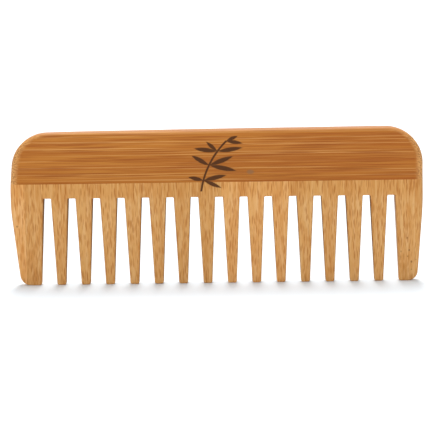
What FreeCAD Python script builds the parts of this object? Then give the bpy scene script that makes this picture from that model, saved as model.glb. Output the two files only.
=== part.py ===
import FreeCAD, Part
import math
import os

from FreeCAD import Vector

# A wide tooth comb in laminated bamboo. Sizes are in millimetres.
# X runs along the comb, +Y points out of its back face and +Z points up.
# The origin is the middle of the footprint, at the level of the tooth tips.
#
# Three lengthwise laths make the spine, and a row of upright strips makes the plate that
# the teeth are sawn from. The strips' top ends have a tongue that sits in a groove under
# the spine. The blank is glued up first, then sawn and sanded to one shape, so every
# piece is cut here from the finished comb.

# Overall
comb_length = 150.0
spine_thickness = 8.0
tip_thickness = 3.5

# Heights, from the tips up: the teeth, the band of plate over them, and the spine's laths
tooth_length = 32.1
band_height = 5.35
taper_below_joint = 4.6
bottom_lath = 4.9
middle_lath = 7.1

# Top edge: how high the spine stands over the joint, at its ends and along its camber
rise_left = 18.15
rise_left_camber = 18.8
rise_right_camber = 18.9
rise_right = 19.0
camber_left_x = -18.0
camber_right_x = 30.0
camber_radius = 3000.0
top_left_radius = 12.9
top_right_radius = 13.2

# Slots and teeth, the slots a little shallower towards the right
slot_pitch_aim = 8.9
slot_root_width = 2.75
slot_mouth_width = 5.7
slot_root_fall = 0.3
slot_root_radius = 0.35
tip_corner_radius = 0.8
left_tooth_width = 12.1
right_tooth_width = 10.3

# End walls: upright by the joint, leaning in (degrees) below a bend and, at the left, over a shoulder
left_bend_below_joint = 9.45
left_lean = 6.6
left_bend_radius = 70.0
left_toe_radius = 4.0
left_shoulder_below_joint = 0.2
left_top_lean = 5.4
left_shoulder_radius = 70.0
right_bend_below_joint = 9.45
right_lean = 4.49
right_bend_radius = 120.0
right_toe_radius = 3.6

# The faces bend from the flat spine into the taper of the teeth
taper_bend_radius = 125.0

# Sanded rounding of the edges round both faces
tooth_rounding = 0.6
end_rounding = 3.4
end_rounding_limit = 0.43
end_rounding_foot = 4.0
top_rounding = [(-61.0, 1.1), (-26.0, 1.6), (-10.0, 1.8), (16.0, 0.9), (44.0, 1.5), (61.0, 1.3)]

# Strips of the tooth plate: a narrow trimmed one at the left, then full ones
trimmed_strip_width = 5.3
full_strips = 6
glue_line_margin = 0.1

# Tongue and groove between the plate and the spine
tongue_thickness = 2.8
tongue_height = 3.0
tongue_end_gap = 6.5
groove_side_clearance = 0.05
groove_end_clearance = 0.2

# Worked out from the sizes above
half_length = comb_length / 2
half_spine = spine_thickness / 2
half_tip = tip_thickness / 2
joint_height = tooth_length + band_height
slot_span = comb_length - left_tooth_width - right_tooth_width - slot_root_width
slot_count = 1 + round(slot_span / slot_pitch_aim)
slot_pitch = slot_span / (slot_count - 1)
first_slot = -half_length + left_tooth_width + slot_root_width / 2
lower_lath_line = joint_height + bottom_lath
upper_lath_line = lower_lath_line + middle_lath
end_rounding_used = min(end_rounding, end_rounding_limit * spine_thickness)
outside = comb_length


def rounded_wire(corners):
    """A closed wire of straight runs, with a tangent arc at each (point, radius) corner."""
    arcs = []
    for i, (point, radius) in enumerate(corners):
        back = (corners[i - 1][0] - point).normalize()
        ahead = (corners[(i + 1) % len(corners)][0] - point).normalize()
        if radius == 0:
            arcs.append((point, point, point))
            continue
        half_turn = (math.pi - back.getAngle(ahead)) / 2
        reach = radius * math.tan(half_turn)
        inward = (back + ahead).normalize()
        middle = point + inward * (radius / math.cos(half_turn) - radius)
        arcs.append((point + back * reach, middle, point + ahead * reach))
    edges = []
    for i, (start, middle, end) in enumerate(arcs):
        if start != end:
            edges.append(Part.Arc(start, middle, end).toShape())
        edges.append(Part.LineSegment(end, arcs[(i + 1) % len(arcs)][0]).toShape())
    return Part.Wire(edges)


def slot_corners(i):
    """The four corners of one slot, from the right side of its mouth to the left."""
    centre = first_slot + i * slot_pitch
    root = tooth_length - slot_root_fall * i / (slot_count - 1)
    return [
        (centre + slot_mouth_width / 2, 0, tip_corner_radius),
        (centre + slot_root_width / 2, root, slot_root_radius),
        (centre - slot_root_width / 2, root, slot_root_radius),
        (centre - slot_mouth_width / 2, 0, tip_corner_radius),
    ]


def front_prism():
    """The comb's outline, teeth included, carried through its thickness."""
    left_bend = joint_height - left_bend_below_joint
    left_shoulder = joint_height - left_shoulder_below_joint
    right_bend = joint_height - right_bend_below_joint
    left_toe_inset = left_bend * math.tan(math.radians(left_lean))
    left_top_inset = (rise_left + left_shoulder_below_joint) * math.tan(math.radians(left_top_lean))
    right_toe_inset = right_bend * math.tan(math.radians(right_lean))
    corners = [
        (-half_length + left_toe_inset, 0, left_toe_radius),
        (-half_length, left_bend, left_bend_radius),
        (-half_length, left_shoulder, left_shoulder_radius),
        (-half_length + left_top_inset, joint_height + rise_left, top_left_radius),
        (camber_left_x, joint_height + rise_left_camber, camber_radius),
        (camber_right_x, joint_height + rise_right_camber, camber_radius),
        (half_length, joint_height + rise_right, top_right_radius),
        (half_length, right_bend, right_bend_radius),
        (half_length - right_toe_inset, 0, right_toe_radius),
    ]
    for i in reversed(range(slot_count)):
        corners += slot_corners(i)
    wire = rounded_wire([(Vector(x, -spine_thickness, z), r) for x, z, r in corners])
    return Part.Face(wire).extrude(Vector(0, 2 * spine_thickness, 0))


def side_prism():
    """The comb's thickness: flat at the spine, and tapering to the tips."""
    above = joint_height + 2 * rise_right_camber
    taper_start = joint_height - taper_below_joint
    below_tips = -half_tip
    taper = (half_spine - half_tip) / taper_start
    half_below = half_tip + taper * below_tips
    corners = [
        (half_spine, above, 0),
        (half_spine, taper_start, taper_bend_radius),
        (half_below, below_tips, 0),
        (-half_below, below_tips, 0),
        (-half_spine, taper_start, taper_bend_radius),
        (-half_spine, above, 0),
    ]
    wire = rounded_wire([(Vector(-outside, y, z), r) for y, z, r in corners])
    return Part.Face(wire).extrude(Vector(2 * outside, 0, 0))


def rounding_at(point):
    """The rounding of the edge where it passes a point."""
    on_top = point.z > joint_height + rise_left / 2
    if on_top and top_left_radius / 2 < point.x + half_length < comb_length - top_right_radius / 2:
        for (x0, r0), (x1, r1) in zip(top_rounding, top_rounding[1:]):
            if point.x <= x1:
                share = max(0.0, (point.x - x0) / (x1 - x0))
                return r0 + share * (r1 - r0)
        return top_rounding[-1][1]
    past_slots = point.x < first_slot - slot_mouth_width or point.x > -first_slot + slot_mouth_width
    if past_slots and point.z > end_rounding_foot:
        share = min(1.0, (point.z - end_rounding_foot) / (joint_height - end_rounding_foot))
        return tooth_rounding + share * (end_rounding_used - tooth_rounding)
    return tooth_rounding


def is_wall(face):
    """True for a face that stands square to the comb's front and back."""
    u0, u1, v0, v1 = face.ParameterRange
    return abs(face.normalAt((u0 + u1) / 2, (v0 + v1) / 2).y) < 0.5


def rim_loops(shape):
    """The edges round the front and round the back, each as (number, start, end) in order."""
    loose = []
    for number, edge in enumerate(shape.Edges, start=1):
        walls = [is_wall(face) for face in shape.ancestorsOfType(edge, Part.Face)]
        if len(walls) == 2 and walls[0] != walls[1]:
            loose.append((number, edge.valueAt(edge.FirstParameter), edge.valueAt(edge.LastParameter)))
    loops = []
    while loose:
        loop = [loose.pop(0)]
        while True:
            end = loop[-1][2]
            following = [e for e in loose if end.isEqual(e[1], 1e-5) or end.isEqual(e[2], 1e-5)]
            if not following:
                break
            number, a, b = following[0]
            loose.remove(following[0])
            loop.append((number, a, b) if end.isEqual(a, 1e-5) else (number, b, a))
        loops.append(loop)
    return loops


def sanded(shape):
    """The shape with the edges round its front and back rounded over."""
    document = FreeCAD.newDocument("comb")
    base = document.addObject("Part::Feature", "sawn")
    base.Shape = shape
    fillet = document.addObject("Part::Fillet", "sanded")
    fillet.Base = base
    fillet.Edges = [
        (number, rounding_at(start), rounding_at(end))
        for loop in rim_loops(shape)
        for number, start, end in loop
    ]
    document.recompute()
    rounded = fillet.Shape.Solids[0].copy()
    FreeCAD.closeDocument(document.Name)
    return rounded


def block(x0, x1, y0, y1, z0, z1):
    """A box between two corners."""
    return Part.makeBox(x1 - x0, y1 - y0, z1 - z0, Vector(x0, y0, z0))


def zone(x0, x1, z0, z1):
    """A box that takes in the comb's whole thickness."""
    return block(x0, x1, -spine_thickness, spine_thickness, z0, z1)


def settled(place):
    """A glue line moved the least way that keeps it inside a slot or on a tooth's flat tip."""
    halves = round(2 * (place - first_slot) / slot_pitch)
    centre = first_slot + halves * slot_pitch / 2
    if halves % 2:
        room = (slot_pitch - slot_mouth_width) / 2 - tip_corner_radius
    else:
        room = slot_root_width / 2 - slot_root_radius
    room = max(0.0, room - glue_line_margin)
    return centre + max(-room, min(room, place - centre))


def glue_lines():
    """Where one strip meets the next, from left to right."""
    first = -half_length + trimmed_strip_width
    width = (half_length - first) / full_strips
    return [first] + [settled(first + i * width) for i in range(1, full_strips)]


def tongue(x0, x1, side_clearance, end_clearance):
    """The tongue over a stretch of the joint, or with clearances the groove for it."""
    half = tongue_thickness / 2 + side_clearance
    return block(x0, x1, -half, half, joint_height, joint_height + tongue_height + end_clearance)


def spine_laths(comb):
    """The three laths of the spine, the lowest with the groove for the tongue."""
    tongue_reach = half_length - tongue_end_gap
    groove = tongue(
        -tongue_reach - groove_end_clearance,
        tongue_reach + groove_end_clearance,
        groove_side_clearance,
        groove_end_clearance,
    )
    top = joint_height + 2 * rise_right_camber
    return {
        "spine_lath_bottom": comb.common(zone(-outside, outside, joint_height, lower_lath_line)).cut(groove),
        "spine_lath_middle": comb.common(zone(-outside, outside, lower_lath_line, upper_lath_line)),
        "spine_lath_top": comb.common(zone(-outside, outside, upper_lath_line, top)),
    }


def tooth_strips(comb):
    """The upright strips, each with its teeth and its stretch of the tongue."""
    tongue_reach = half_length - tongue_end_gap
    sides = [-outside] + glue_lines() + [outside]
    strips = {}
    for i, (left, right) in enumerate(zip(sides, sides[1:]), start=1):
        strip = comb.common(zone(left, right, -spine_thickness, joint_height))
        tongue_left = max(left, -tongue_reach)
        tongue_right = min(right, tongue_reach)
        if tongue_right > tongue_left:
            strip = strip.fuse(tongue(tongue_left, tongue_right, 0, 0)).removeSplitter()
        strips[f"tooth_strip_{i}"] = strip
    return strips


def main():
    comb = sanded(front_prism().common(side_prism()).Solids[0])
    pieces = {**spine_laths(comb), **tooth_strips(comb)}
    os.makedirs("parts", exist_ok=True)
    for name, shape in pieces.items():
        solid = shape.Solids[0]
        print(name, len(shape.Solids), shape.isValid(), round(solid.Volume, 2))
        solid.exportStep(f"parts/{name}.step")


main()
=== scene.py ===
import math

import bpy
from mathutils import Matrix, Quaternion, Vector


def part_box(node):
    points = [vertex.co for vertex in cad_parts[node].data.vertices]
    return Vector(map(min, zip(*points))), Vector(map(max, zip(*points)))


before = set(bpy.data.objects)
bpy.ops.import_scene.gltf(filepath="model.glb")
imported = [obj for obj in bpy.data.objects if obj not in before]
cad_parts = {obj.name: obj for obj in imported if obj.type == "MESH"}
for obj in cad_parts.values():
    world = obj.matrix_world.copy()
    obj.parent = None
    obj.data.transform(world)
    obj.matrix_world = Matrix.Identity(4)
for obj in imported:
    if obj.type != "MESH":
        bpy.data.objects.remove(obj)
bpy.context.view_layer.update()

# A wide tooth comb in laminated bamboo, standing on its tips. Everything is in metres in the
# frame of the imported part: X along the comb, Y out of its back face, Z up from the tips.
MM = 0.001
LATHS = ["spine_lath_top", "spine_lath_middle", "spine_lath_bottom"]
STRIPS = sorted(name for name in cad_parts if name.startswith("tooth_strip_"))

# The glue line between the spine and the plate, in millimetres over the tips
JOINT_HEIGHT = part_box("spine_lath_bottom")[0].z / MM

# Camera: the middle of the view, how far off the camera stands, and its turns in degrees
VIEW_CENTRE = Vector((-0.67, 0.0, 24.87)) * MM
VIEW_DISTANCE = 750 * MM
VIEW_AZIMUTH = 0.506
VIEW_ELEVATION = 8.0
VIEW_ROLL = -0.854
LENS_MM = 172.16
SENSOR_MM = 36.0

# Floor, in metres: how far it runs, and where and how tightly it sweeps up behind the comb
FLOOR_REACH = 6.0
SWEEP_START = 1.4
SWEEP_RADIUS = 0.6
SWEEP_STEPS = 12


# ---------------------------------------------------------------- shader node helpers


class Nodes:
    """A node tree with short calls for the nodes that the materials use."""

    def __init__(self, tree):
        self.tree = tree

    def node(self, kind, **settings):
        made = self.tree.nodes.new(kind)
        for name, value in settings.items():
            setattr(made, name, value)
        return made

    def feed(self, socket, value):
        """Links a socket, or sets it to a constant."""
        if isinstance(value, bpy.types.NodeSocket):
            self.tree.links.new(value, socket)
        else:
            socket.default_value = value

    def math(self, operation, *values, clamp=False):
        made = self.node("ShaderNodeMath", operation=operation, use_clamp=clamp)
        for socket, value in zip(made.inputs, values):
            self.feed(socket, value)
        return made.outputs[0]

    def vector(self, operation, *values):
        made = self.node("ShaderNodeVectorMath", operation=operation)
        for socket, value in zip(made.inputs, values):
            self.feed(socket, value)
        return made.outputs["Value" if operation in ("LENGTH", "DOT_PRODUCT") else "Vector"]

    def split(self, vector):
        made = self.node("ShaderNodeSeparateXYZ")
        self.feed(made.inputs[0], vector)
        return made.outputs

    def noise(self, vector, detail=2.0, roughness=0.5, distortion=0.0):
        """Noise about 0.5."""
        made = self.node("ShaderNodeTexNoise")
        self.feed(made.inputs["Vector"], vector)
        made.inputs["Scale"].default_value = 1.0
        made.inputs["Detail"].default_value = detail
        made.inputs["Roughness"].default_value = roughness
        made.inputs["Distortion"].default_value = distortion
        return made.outputs[0]

    def step(self, value, low, high):
        """0 below low, 1 above high and smooth between."""
        made = self.node("ShaderNodeMapRange", interpolation_type="SMOOTHSTEP")
        self.feed(made.inputs["Value"], value)
        made.inputs["From Min"].default_value = low
        made.inputs["From Max"].default_value = high
        return made.outputs[0]

    def mix(self, share, colour_a, colour_b, blend="MIX"):
        made = self.node("ShaderNodeMix", data_type="RGBA", blend_type=blend)
        self.feed(made.inputs["Factor"], share)
        for name, value in (("A", colour_a), ("B", colour_b)):
            socket = [s for s in made.inputs if s.name == name and s.type == "RGBA"][0]
            self.feed(socket, value if isinstance(value, bpy.types.NodeSocket) else (*value, 1.0))
        return [s for s in made.outputs if s.type == "RGBA"][0]


# ---------------------------------------------------------------- bamboo


def grain_space(n, place, along, seed):
    """Places in millimetres, moved by a seed and with the grain's slow wander taken out."""
    place = n.vector("ADD", place, seed)
    squeeze = [WANDER_PER_MM] * 3
    squeeze[along] = WANDER_PER_MM / 4
    wander = n.node("ShaderNodeTexNoise")
    n.feed(wander.inputs["Vector"], n.vector("MULTIPLY", place, tuple(squeeze)))
    wander.inputs["Scale"].default_value = 1.0
    wander.inputs["Detail"].default_value = 1.0
    shift = n.vector("SUBTRACT", wander.outputs["Color"], (0.5, 0.5, 0.5))
    reach = [WANDER_MM[along]] * 3
    reach[along] = 0.0
    return n.vector("ADD", place, n.vector("MULTIPLY", shift, tuple(reach)))


def streaks(n, place, along, across_per_mm, along_per_mm, detail=2.0, roughness=0.5):
    """Noise drawn out along the grain."""
    scale = [across_per_mm] * 3
    scale[along] = along_per_mm
    return n.noise(n.vector("MULTIPLY", place, tuple(scale)), detail, roughness)


def bundles(n, place, along, across_per_mm, along_per_mm, radius):
    """1 inside thin fibre bundles: dashes along the grain, dots where it is cut across."""
    scale = [across_per_mm] * 3
    scale[along] = along_per_mm
    cells = n.node("ShaderNodeTexVoronoi")
    n.feed(cells.inputs["Vector"], n.vector("MULTIPLY", place, tuple(scale)))
    cells.inputs["Scale"].default_value = 1.0
    return n.step(cells.outputs["Distance"], radius, radius * 0.45)


def layer(n, colour, mask, share, over):
    """One colour laid over another by a share of a mask."""
    return n.mix(n.math("MULTIPLY", mask, share), colour, over)


def ellipse(n, parts, centre, reach):
    """1 in the middle of an upright ellipse on the comb's faces, falling to 0 at its edge."""
    u = n.math("DIVIDE", n.math("SUBTRACT", parts[0], centre[0]), reach[0])
    v = n.math("DIVIDE", n.math("SUBTRACT", parts[2], centre[1]), reach[1])
    squared = n.math("ADD", n.math("MULTIPLY", u, u), n.math("MULTIPLY", v, v))
    return n.math("SUBTRACT", 1.0, squared, clamp=True)


def leaf(n, place, base, degrees, length, width):
    """Above 0 inside a lens-shaped leaf that points away from its base."""
    angle = math.radians(degrees)
    mapping = n.node("ShaderNodeMapping", vector_type="TEXTURE")
    n.feed(mapping.inputs["Vector"], place)
    middle_x = base[0] + math.cos(angle) * length / 2
    middle_z = base[1] + math.sin(angle) * length / 2
    mapping.inputs["Location"].default_value = (middle_x, 0, middle_z)
    mapping.inputs["Rotation"].default_value = (0, -angle, 0)
    mapping.inputs["Scale"].default_value = (length / 2, 1, width / 2)
    u, _, v = n.split(mapping.outputs[0])
    return n.math("SUBTRACT", n.math("SUBTRACT", 1.0, n.math("MULTIPLY", u, u)), n.math("ABSOLUTE", v))


def stem_point(z):
    """Where the sprig's stem passes a height, both in millimetres."""
    return STEM_CENTRE[0] - math.sqrt(STEM_RADIUS**2 - (z - STEM_CENTRE[1]) ** 2), z


def burned_sprig(n, place, parts, front):
    """Above 0 inside the bamboo sprig burned into the comb's front, for any place in millimetres."""
    from_centre = n.vector("SUBTRACT", place, (STEM_CENTRE[0], 0, STEM_CENTRE[1]))
    radius = n.vector("LENGTH", n.vector("MULTIPLY", from_centre, (1, 0, 1)))
    off_line = n.math("ABSOLUTE", n.math("SUBTRACT", radius, STEM_RADIUS))
    stem = n.math("SUBTRACT", 1.0, n.math("DIVIDE", off_line, STEM_WIDTH / 2))
    off_middle = n.math("ABSOLUTE", n.math("SUBTRACT", parts[2], STEM_MIDDLE_Z))
    past_ends = n.math("SUBTRACT", off_middle, STEM_HALF_HEIGHT)
    shape = n.math("MINIMUM", stem, n.math("MULTIPLY", past_ends, -3.0))
    shape = n.math("MINIMUM", shape, n.math("SUBTRACT", STEM_CENTRE[0], parts[0]))
    for z, degrees, length, width in SPRIG_LEAVES:
        shape = n.math("MAXIMUM", shape, leaf(n, place, stem_point(z), degrees, length, width))
    return n.math("ADD", shape, n.math("SUBTRACT", n.math("MULTIPLY", front, 4.0), 4.0))


def grain(n, place, aside, along, look):
    """The boards' colour along their fibres, and the fibres and flecks that make its relief."""
    bands = streaks(n, place, along, look["bands"], look["bands"] * BAND_RUN, 1.0)
    fibres = streaks(n, place, along, look["fibres"], look["fibre_run"], 3.0, 0.65)
    lines = streaks(n, place, along, look["lines"], look["line_run"], 0.0)
    flecks = bundles(n, place, along, look["flecks"], look["fleck_run"], look["fleck_radius"])
    finer, shorter = look["flecks"] * 1.5, look["fleck_run"] * 1.3
    thin_flecks = bundles(n, aside, along, finer, shorter, look["fleck_radius"])

    colour = n.mix(n.step(bands, 0.38, 0.62), look["deep"], look["body"])
    colour = layer(n, colour, n.step(fibres, 0.40, 0.66), look["fibre_share"], look["pale"])
    colour = layer(n, colour, n.step(lines, 0.58, 0.68), look["line_share"], look["line"])
    colour = layer(n, colour, flecks, look["fleck_share"], look["fleck"])
    colour = layer(n, colour, thin_flecks, look["fleck_share"] * 0.8, look["fleck"])
    return colour, fibres, flecks


def lath_tones(n, colour, whole, aside, parts, facing, look):
    """Russet streaks to the right, paler and pored end grain, and a painted highlight on the faces that look
    up.
    """
    to_right = n.step(parts[0], *RIGHT_FADE)
    colour = n.mix(to_right, colour, look["far_tint"], "MULTIPLY")
    russet = n.step(streaks(n, aside, 0, look["russets"], look["line_run"], 1.0), 0.52, 0.66)
    colour = layer(n, colour, n.math("MULTIPLY", to_right, russet), 0.6, look["russet"])
    ends = n.step(n.math("ABSOLUTE", facing[0]), *END_FACING)
    colour = layer(n, colour, ends, 0.75, look["end"])
    pores = bundles(n, whole, 0, 1.7, 0.9, 0.60)
    colour = layer(n, colour, n.math("MULTIPLY", ends, pores), 0.7, look["pore"])
    # Painted highlight: faces that look up are made paler, standing in for the light from above
    top_highlight = n.math("MULTIPLY", n.step(facing[2], *TOP_HIGHLIGHT_FACING), n.math("SUBTRACT", 1.0, ends))
    return layer(n, colour, top_highlight, 0.2, look["top_highlight"])


def strip_tones(n, colour, whole, parts, front, walls, look):
    """A browner band along the joint, painted shade on the slot walls and a few pits."""
    by_joint = n.step(parts[2], JOINT_HEIGHT - 8.0, JOINT_HEIGHT - 3.0)
    colour = n.mix(by_joint, colour, look["joint_tint"], "MULTIPLY")
    # Painted shade: the slot walls between the teeth are darkened, standing in for the shade there
    colour = layer(n, colour, walls, 0.6, look["sawn"])
    for centre, reach, pits_per_mm in PITTED_PLACES:
        pits = bundles(n, whole, 2, pits_per_mm, pits_per_mm * 0.75, pits_per_mm * PIT_RADIUS)
        near = n.math("MULTIPLY", front, n.step(ellipse(n, parts, centre, reach), 0.0, 0.4))
        colour = layer(n, colour, n.math("MULTIPLY", near, pits), 0.9, look["pore"])
    return colour


def burned_mark(n, colour, relief, fibres, whole, parts, front):
    """The sprig, its scorched edge and the smudge beside it, over a board's colour and relief."""
    ragged = n.math("MULTIPLY_ADD", fibres, 0.6, -0.3)
    burn = n.math("ADD", burned_sprig(n, whole, parts, front), ragged)
    colour = layer(n, colour, n.step(burn, -0.45, 0.1), 0.35, SCORCHED)
    burned = n.step(burn, -0.08, 0.22)
    colour = layer(n, colour, burned, 0.94, BURNED)
    spot = n.step(ellipse(n, parts, SMUDGE_CENTRE, SMUDGE_REACH), 0.0, 0.9)
    colour = layer(n, colour, n.math("MULTIPLY", front, spot), 0.55, SMUDGE)
    return colour, n.math("SUBTRACT", relief, n.math("MULTIPLY", burned, 1.5))


def bamboo(name, along, look, seed, tone, marked):
    """Sanded and lightly oiled bamboo with its fibres along one axis."""
    material = bpy.data.materials.new(name)
    material.use_nodes = True
    tree = material.node_tree
    n = Nodes(tree)
    shader = tree.nodes["Principled BSDF"]
    whole = n.vector("MULTIPLY", n.node("ShaderNodeTexCoord").outputs["Object"], (1 / MM,) * 3)
    parts = n.split(whole)
    facing = n.split(n.node("ShaderNodeTexCoord").outputs["Normal"])
    front = n.step(parts[1], *FRONT_FADE)
    place = grain_space(n, whole, along, seed)
    aside = n.vector("ADD", place, ASIDE)

    colour, fibres, flecks = grain(n, place, aside, along, look)
    if tone != 1.0:
        blend, shade = ("MULTIPLY", tone) if tone < 1 else ("DIVIDE", 1 / tone)
        colour = n.mix(1.0, colour, (shade, shade, shade**1.4), blend)
    gloss = n.math("MULTIPLY_ADD", fibres, FIBRE_ROUGHNESS, ROUGHNESS)
    if along == 0:
        colour = lath_tones(n, colour, whole, aside, parts, facing, look)
    else:
        inside = n.step(n.math("ABSOLUTE", parts[0]), *SLOTTED_REACH)
        # The slot walls: darkened with painted shade in strip_tones, and made rougher here
        walls = n.math("MULTIPLY", n.step(n.math("ABSOLUTE", facing[0]), *WALL_FACING), inside)
        colour = strip_tones(n, colour, whole, parts, front, walls, look)
        gloss = n.math("MULTIPLY_ADD", walls, SAWN_ROUGHNESS, gloss)

    relief = n.math("SUBTRACT", fibres, n.math("MULTIPLY", flecks, 0.3))
    if marked:
        colour, relief = burned_mark(n, colour, relief, fibres, whole, parts, front)
    n.feed(shader.inputs["Base Color"], colour)
    n.feed(shader.inputs["Roughness"], gloss)
    shader.inputs["Specular IOR Level"].default_value = 0.16

    bump = n.node("ShaderNodeBump")
    bump.inputs["Strength"].default_value = 0.35
    bump.inputs["Distance"].default_value = 0.05 * MM
    n.feed(bump.inputs["Height"], relief)
    n.feed(shader.inputs["Normal"], bump.outputs["Normal"])
    return material


# Where tones change, each as a start and an end in millimetres: towards the right of the spine,
# onto the front face, and inside the end teeth's outer walls
RIGHT_FADE = (-10.0, 40.0)
FRONT_FADE = (-0.5, -1.5)
SLOTTED_REACH = (64.5, 63.5)

# How squarely a surface faces out of an end, up, or into a slot where its tone sets in: the end grain, the
# painted highlight on top and the painted shade on the slot walls
END_FACING = (0.04, 0.70)
TOP_HIGHLIGHT_FACING = (0.10, 0.55)
WALL_FACING = (0.80, 0.97)

# Roughness: the least, what the fibres add and what the saw adds
ROUGHNESS = 0.38
FIBRE_ROUGHNESS = 0.24
SAWN_ROUGHNESS = 0.4

# A second set of flecks and streaks is the first one's pattern, this far aside
ASIDE = (7.3, 5.1, 3.7)
BAND_RUN = 0.02

# How the grain wanders: how fast, and how far in millimetres for each grain axis
WANDER_PER_MM = 0.05
WANDER_MM = {0: 0.3, 2: 0.6}

DARK = {
    "body": (0.465, 0.158, 0.020),
    "deep": (0.380, 0.108, 0.011),
    "pale": (0.505, 0.195, 0.032),
    "line": (0.610, 0.280, 0.075),
    "fleck": (0.300, 0.074, 0.008),
    "far_tint": (0.960, 0.930, 0.930),
    "russet": (0.360, 0.092, 0.010),
    "end": (0.745, 0.385, 0.130),
    # painted highlight: the paler colour of the faces that look up
    "top_highlight": (0.760, 0.430, 0.170),
    "pore": (0.270, 0.085, 0.018),
    "bands": 0.65,
    "russets": 1.0,
    "fibres": 3.3,
    "fibre_run": 0.030,
    "fibre_share": 0.7,
    "lines": 2.3,
    "line_run": 0.010,
    "line_share": 0.75,
    "flecks": 1.6,
    "fleck_run": 0.035,
    "fleck_radius": 0.44,
    "fleck_share": 0.65,
}
LIGHT = {
    "body": (0.620, 0.308, 0.093),
    "deep": (0.560, 0.250, 0.064),
    "pale": (0.680, 0.385, 0.145),
    "line": (0.730, 0.450, 0.195),
    "fleck": (0.420, 0.150, 0.028),
    "joint_tint": (0.960, 0.905, 0.800),
    # painted shade: the darker colour of the slot walls between the teeth
    "sawn": (0.200, 0.085, 0.022),
    "pore": (0.270, 0.110, 0.030),
    "bands": 0.40,
    "fibres": 2.8,
    "fibre_run": 0.13,
    "fibre_share": 0.6,
    "lines": 1.3,
    "line_run": 0.05,
    "line_share": 0.4,
    "flecks": 1.35,
    "fleck_run": 0.16,
    "fleck_radius": 0.40,
    "fleck_share": 0.75,
}

# A generic bamboo sprig burned across the joint, in millimetres on the comb's front:
# an arc for the stem, and for each leaf its height on the stem, direction, length and width
STEM_CENTRE = (26.15, 29.42)
STEM_RADIUS = 32.0
STEM_WIDTH = 0.75
STEM_MIDDLE_Z = 43.3
STEM_HALF_HEIGHT = 9.2
SPRIG_LEAVES = [
    (38.2, 12, 8.6, 1.7),
    (38.2, -24, 7.0, 1.5),
    (38.2, 168, 5.6, 1.5),
    (43.6, 20, 9.4, 1.8),
    (43.6, -12, 10.2, 1.8),
    (43.6, 150, 7.2, 1.7),
    (48.6, 8, 9.2, 1.7),
    (48.6, 172, 8.6, 1.7),
    (48.6, 138, 5.4, 1.4),
    (52.3, 24, 4.6, 1.3),
    (52.3, -8, 6.0, 1.4),
]
BURNED = (0.066, 0.019, 0.002)
SCORCHED = (0.300, 0.105, 0.020)

# A grey smudge on the spine, and places on the plate that are pitted with dark pores
SMUDGE_CENTRE = (12.4, 41.0)
SMUDGE_REACH = (1.7, 1.1)
SMUDGE = (0.20, 0.12, 0.06)
PITTED_PLACES = [((-72.8, 22.0), (0.9, 0.9), 0.95), ((70.0, 10.5), (3.6, 7.5), 0.55)]
PIT_RADIUS = 0.42

# How light each board is against the next, from left to right
LATH_TONES = {"spine_lath_top": 1.03, "spine_lath_middle": 1.0, "spine_lath_bottom": 0.97}
STRIP_TONES = [1.16, 1.01, 1.02, 0.99, 1.12, 1.02, 1.02]
MARKED = ["spine_lath_top", "spine_lath_middle", "spine_lath_bottom", "tooth_strip_4", "tooth_strip_5"]


def dress(name, material):
    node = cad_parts[name]
    node.data.materials.clear()
    node.data.materials.append(material)


for i, name in enumerate(LATHS):
    seed = (31.0 * i, 17.0 * i, 23.0 * i)
    dress(name, bamboo(name + "_bamboo", 0, DARK, seed, LATH_TONES[name], name in MARKED))
for i, name in enumerate(STRIPS):
    seed = (13.0 * i, 29.0 * i, 41.0 * i)
    dress(name, bamboo(name + "_bamboo", 2, LIGHT, seed, STRIP_TONES[i], name in MARKED))


# ---------------------------------------------------------------- floor, light and camera


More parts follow.
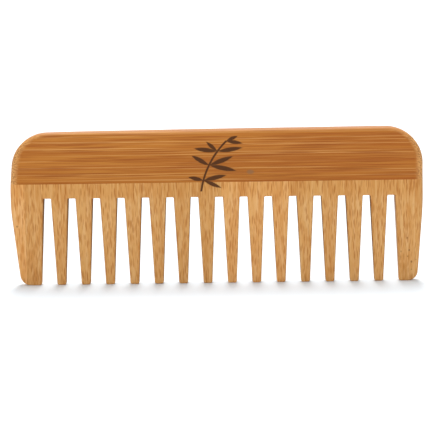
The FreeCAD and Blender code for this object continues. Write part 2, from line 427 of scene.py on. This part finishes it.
def make_floor():
    """A pale floor that sweeps up into a low backdrop behind the comb."""
    profile = [(-FLOOR_REACH, 0.0)]
    for i in range(SWEEP_STEPS + 1):
        turn = math.pi / 2 * i / SWEEP_STEPS
        profile.append((SWEEP_START + SWEEP_RADIUS * math.sin(turn), SWEEP_RADIUS * (1 - math.cos(turn))))
    corners = [(x, y, z) for y, z in profile for x in (-FLOOR_REACH, FLOOR_REACH)]
    faces = [(i, i + 1, i + 3, i + 2) for i in range(0, len(corners) - 2, 2)]
    mesh = bpy.data.meshes.new("floor")
    mesh.from_pydata(corners, [], faces)
    mesh.shade_smooth()
    floor = bpy.data.objects.new("floor", mesh)
    bpy.context.scene.collection.objects.link(floor)
    material = bpy.data.materials.new("pale_floor")
    material.use_nodes = True
    shader = material.node_tree.nodes["Principled BSDF"]
    shader.inputs["Base Color"].default_value = (0.86, 0.92, 0.965, 1)
    shader.inputs["Roughness"].default_value = 0.7
    shader.inputs["Specular IOR Level"].default_value = 0.1
    floor.data.materials.append(material)


def soft_light(name, place, aim, size, watts):
    data = bpy.data.lights.new(name, "AREA")
    data.shape = "RECTANGLE"
    data.size, data.size_y = size
    data.energy = watts
    lamp = bpy.data.objects.new(name, data)
    lamp.location = place
    lamp.rotation_mode = "QUATERNION"
    lamp.rotation_quaternion = (Vector(place) - Vector(aim)).to_track_quat("Z", "Y")
    bpy.context.scene.collection.objects.link(lamp)


def make_light():
    world = bpy.data.worlds.new("studio")
    world.use_nodes = True
    sky = world.node_tree.nodes["Background"]
    sky.inputs["Color"].default_value = (1, 1, 1, 1)
    sky.inputs["Strength"].default_value = 0.52
    bpy.context.scene.world = world
    soft_light("overhead", (0.0, 0.9, 2.6), (0, 0.2, 0), (0.6, 2.6), 80.0)
    soft_light("front", (-0.6, -2.6, 1.1), (0, 0, 0.03), (2.2, 1.6), 20.0)


def make_camera():
    azimuth, elevation = math.radians(VIEW_AZIMUTH), math.radians(VIEW_ELEVATION)
    back = Vector(
        (
            math.sin(azimuth) * math.cos(elevation),
            -math.cos(azimuth) * math.cos(elevation),
            math.sin(elevation),
        )
    )
    data = bpy.data.cameras.new("camera")
    data.lens = LENS_MM
    data.sensor_width = SENSOR_MM
    data.clip_start, data.clip_end = 0.05, 50.0
    camera = bpy.data.objects.new("camera", data)
    camera.location = VIEW_CENTRE + back * VIEW_DISTANCE
    camera.rotation_mode = "QUATERNION"
    camera.rotation_quaternion = back.to_track_quat("Z", "Y") @ Quaternion((0, 0, 1), math.radians(VIEW_ROLL))
    bpy.context.scene.collection.objects.link(camera)
    bpy.context.scene.camera = camera


make_floor()
make_light()
make_camera()
bpy.context.scene.view_settings.view_transform = "Standard"
